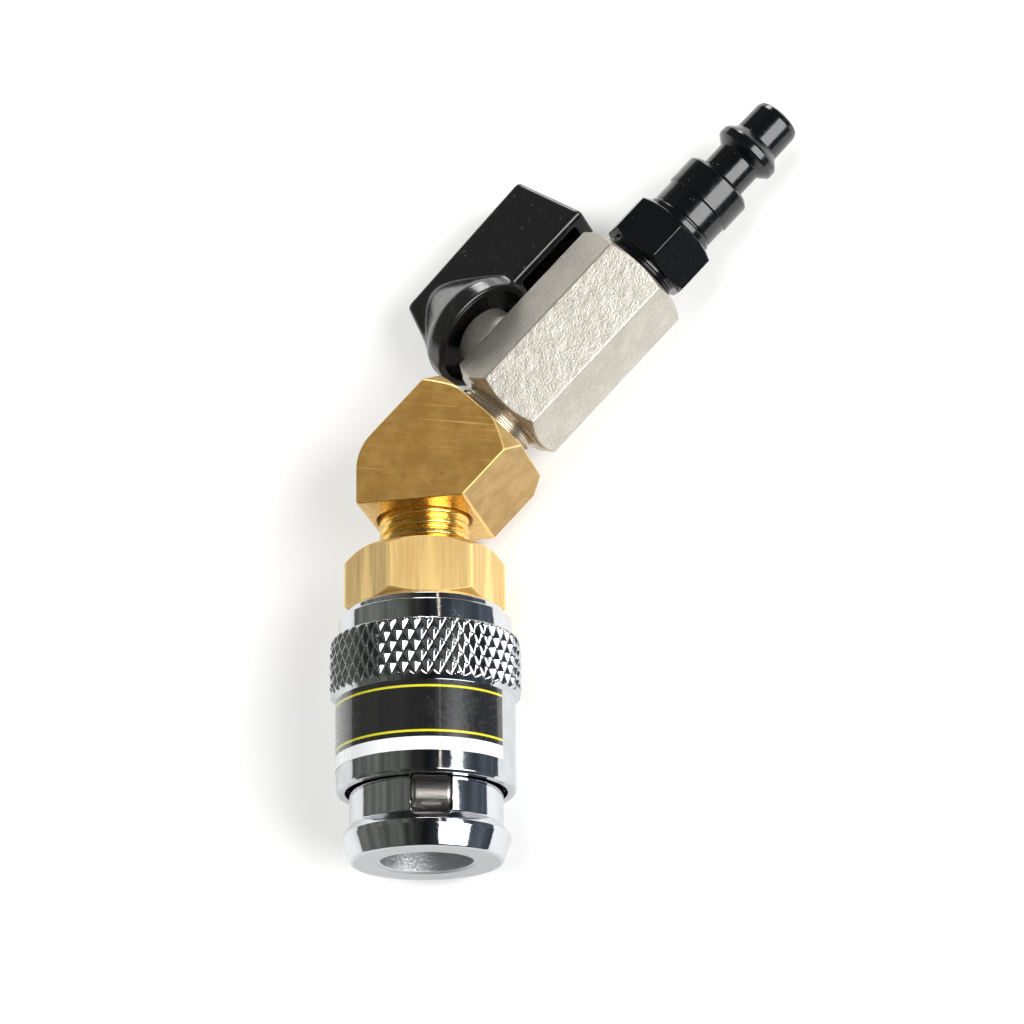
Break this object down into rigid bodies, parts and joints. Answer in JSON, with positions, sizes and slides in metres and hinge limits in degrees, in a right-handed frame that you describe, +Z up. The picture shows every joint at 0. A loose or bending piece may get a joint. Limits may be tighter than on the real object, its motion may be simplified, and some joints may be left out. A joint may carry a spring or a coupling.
{
  "type": "angled air chuck",
  "caption": "Angled air chuck: quick-connect coupler on a brass elbow, with a small ball valve and lever and a male quick-coupler plug.",
  "frame": {"origin": "middle of the box that the lying fitting fills, on the table surface", "axes": "+Z up from the table, +Y from the chuck's mouth towards the elbow, close to the chuck's axis, +X to the side that the elbow bends to"},
  "size_m": [0.0762, 0.1214, 0.03],
  "materials": {
    "chrome": "bright chrome plate on turned steel",
    "label": "glossy printed film, plain dark with a pale strip",
    "spring_steel": "drawn wire",
    "roller_steel": "satin ground steel",
    "seal_rubber": "smooth black rubber",
    "brass_hex": "satin brass with fine drawn lines",
    "brass_elbow": "milled and scratched brass",
    "brass_inner": "turned brass",
    "nickel": "nickel plate on rough cast brass",
    "ball_chrome": "polished",
    "seat_plastic": "waxy white",
    "handle_black": "gloss black coat",
    "plug_black": "gloss black plated steel"
  },
  "bodies": {
    "fitting": {"coupler_body": "chrome", "sleeve_stop_ring": "spring_steel", "mouth_seal": "seal_rubber", "body_seal": "seal_rubber", "tail_adapter": "brass_hex", "elbow": "brass_elbow", "valve_body": "nickel", "ball_seat_inlet": "seat_plastic", "ball_seat_outlet": "seat_plastic", "seat_retainer": "brass_inner", "quick_plug": "plug_black", "sleeve_spring": "spring_steel", "poppet_spring": "spring_steel"},
    "sleeve": {"release_sleeve": "chrome", "sleeve_label": "label"},
    "roller_1": {"locking_roller_1": "roller_steel"},
    "roller_2": {"locking_roller_2": "roller_steel"},
    "roller_3": {"locking_roller_3": "roller_steel"},
    "poppet": {"poppet": "brass_inner", "poppet_seal": "seal_rubber"},
    "valve_turn": {"handle": "handle_black", "handle_screw": "spring_steel", "valve_stem": "brass_inner", "stem_seal": "seal_rubber", "valve_ball": "ball_chrome"}
  },
  "joints": [
    {"name": "sleeve_slide", "type": "slide", "parent": "fitting", "child": "sleeve", "axis": [-0.0021, 0.9992, -0.0408], "range_m": [0, 0.004], "stiffness_N_per_m": 2000, "springref_m": -0.003, "deforming": ["sleeve_spring"]},
    {"name": "roller_1_slide", "type": "slide", "parent": "fitting", "child": "roller_1", "axis": [0.1924, 0.8571, 0.4779], "range_m": [0, 0.00173]},
    {"name": "roller_2_slide", "type": "slide", "parent": "fitting", "child": "roller_2", "axis": [0.345, 0.8192, -0.4582], "range_m": [0, 0.00173]},
    {"name": "roller_3_slide", "type": "slide", "parent": "fitting", "child": "roller_3", "axis": [-0.5427, 0.831, -0.1221], "range_m": [0, 0.00173]},
    {"name": "poppet_slide", "type": "slide", "parent": "fitting", "child": "poppet", "axis": [-0.0021, 0.9992, -0.0408], "range_m": [0, 0.003], "stiffness_N_per_m": 800, "springref_m": -0.002, "deforming": ["poppet_spring"]},
    {"name": "handle_turn", "type": "hinge", "parent": "fitting", "child": "valve_turn", "pos_m": [-0.00487, 0.0176, 0.01212], "axis": [0.705, -0.6869, 0.1761], "range_deg": [0, 90]}
  ],
  "couplings": [
    {"joint": "roller_1_slide", "follows": "sleeve_slide", "ratio": 0.43337},
    {"joint": "roller_2_slide", "follows": "sleeve_slide", "ratio": 0.43337},
    {"joint": "roller_3_slide", "follows": "sleeve_slide", "ratio": 0.43337}
  ]
}
